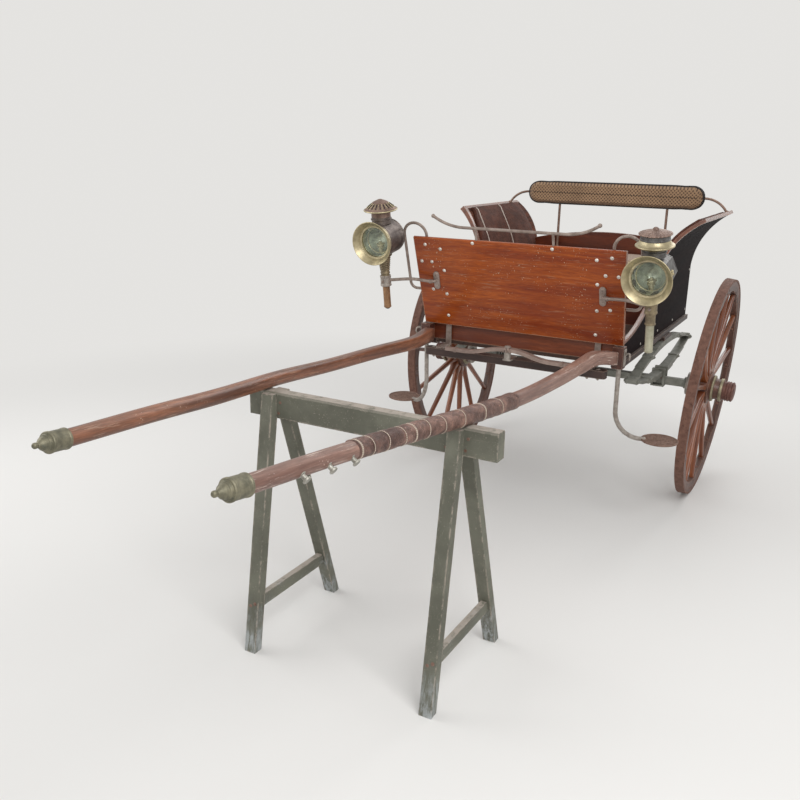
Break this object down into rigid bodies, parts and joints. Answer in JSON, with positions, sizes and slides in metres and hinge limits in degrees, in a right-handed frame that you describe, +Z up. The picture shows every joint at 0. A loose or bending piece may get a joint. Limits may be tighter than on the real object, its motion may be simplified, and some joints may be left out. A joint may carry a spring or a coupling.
{
  "type": "horse drawn carriage",
  "caption": "Two-wheeled gig with long shafts resting on a wooden trestle, sprung open body with flared side wings, padded seat and backrest, dash board, carriage lamps and round steps.",
  "frame": {"origin": "floor level under the middle of the overall bounding box, on the cart's centre plane between the wheels", "axes": "+X forward along the shafts, +Y to the cart's left, +Z up"},
  "size_m": [3.7844, 1.6672, 1.5169],
  "materials": {
    "varnished_board": "worn varnish, red-brown",
    "dark_panel": "dark purple-brown varnish",
    "rail_wood": "red-brown varnish",
    "shaft_wood": "dusty worn varnish",
    "wheel_wood": "varnished spokes and naves",
    "felloe_wood": "dusty brown",
    "tyre_iron": "worn iron",
    "fitting_iron": "grey worn iron",
    "rusty_iron": "brown rust",
    "bronze": "dull greenish bronze",
    "lamp_shell": "dark worn paint",
    "lamp_rim": "pale brass",
    "lamp_glass": "clear",
    "upholstery": "tan woven cloth",
    "leather_lining": "dark brown leather",
    "trestle_paint": "grey-green paint, worn"
  },
  "bodies": {
    "cart": {"axle": "fitting_iron", "axle_clips": "fitting_iron", "back_board": "varnished_board", "backrest_arms": "fitting_iron", "backrest_roll": "upholstery", "backrest_uprights": "fitting_iron", "candle_tubes": "lamp_rim", "corner_blocks": "rail_wood", "cross_bar": "rail_wood", "dash_board": "varnished_board", "dash_irons": "fitting_iron", "floor_boards": "varnished_board", "front_panel": "varnished_board", "grab_rails": "fitting_iron", "lamp_bezels": "lamp_rim", "lamp_body_left": "lamp_shell", "lamp_body_right": "lamp_shell", "lamp_brackets": "fitting_iron", "lamp_lenses": "lamp_glass", "rein_rail": "fitting_iron", "seat_board": "varnished_board", "seat_cushion": "upholstery", "seat_riser": "varnished_board", "shaft_ferrules": "bronze", "shaft_left": "shaft_wood", "shaft_right": "shaft_wood", "shaft_studs": "fitting_iron", "shaft_wrap_left": "leather_lining", "side_lining_left": "leather_lining", "side_lining_right": "leather_lining", "side_panel_left": "dark_panel", "side_panel_right": "dark_panel", "sills": "rail_wood", "spring_blocks": "felloe_wood", "springs_lower": "fitting_iron", "springs_upper": "fitting_iron", "steps": "rusty_iron", "swingletree_bracket": "fitting_iron", "tail_hinge_pins": "fitting_iron", "top_rail_left": "rail_wood", "top_rail_right": "rail_wood", "trestle_beam": "trestle_paint", "trestle_front_legs": "trestle_paint", "trestle_rear_legs": "trestle_paint", "trestle_stretchers": "trestle_paint"},
    "wheel_left": {"tyre_left": "tyre_iron", "felloes_left": "felloe_wood", "spokes_left": "wheel_wood", "nave_left": "wheel_wood", "hub_cap_left": "bronze"},
    "wheel_right": {"tyre_right": "tyre_iron", "felloes_right": "felloe_wood", "spokes_right": "wheel_wood", "nave_right": "wheel_wood", "hub_cap_right": "bronze"},
    "swingletree": {"swingletree": "shaft_wood"},
    "tail_board": {"tail_board": "varnished_board", "tail_straps": "fitting_iron"}
  },
  "joints": [
    {"name": "wheel_left_spin", "type": "hinge", "parent": "cart", "child": "wheel_left", "pos_m": [-1.285, 0.708, 0.54885], "axis": [0, 0.9979, -0.0645], "continuous": true},
    {"name": "wheel_right_spin", "type": "hinge", "parent": "cart", "child": "wheel_right", "pos_m": [-1.285, -0.708, 0.54885], "axis": [0, -0.9979, -0.0645], "continuous": true},
    {"name": "swingletree_swing", "type": "hinge", "parent": "cart", "child": "swingletree", "pos_m": [-0.31, 0, 0.83985], "axis": [0, 0, 1], "range_deg": [-12, 12]},
    {"name": "tail_board_hinge", "type": "hinge", "parent": "cart", "child": "tail_board", "pos_m": [-1.813, 0, 0.81085], "axis": [0, -1, 0], "range_deg": [0, 95]}
  ]
}
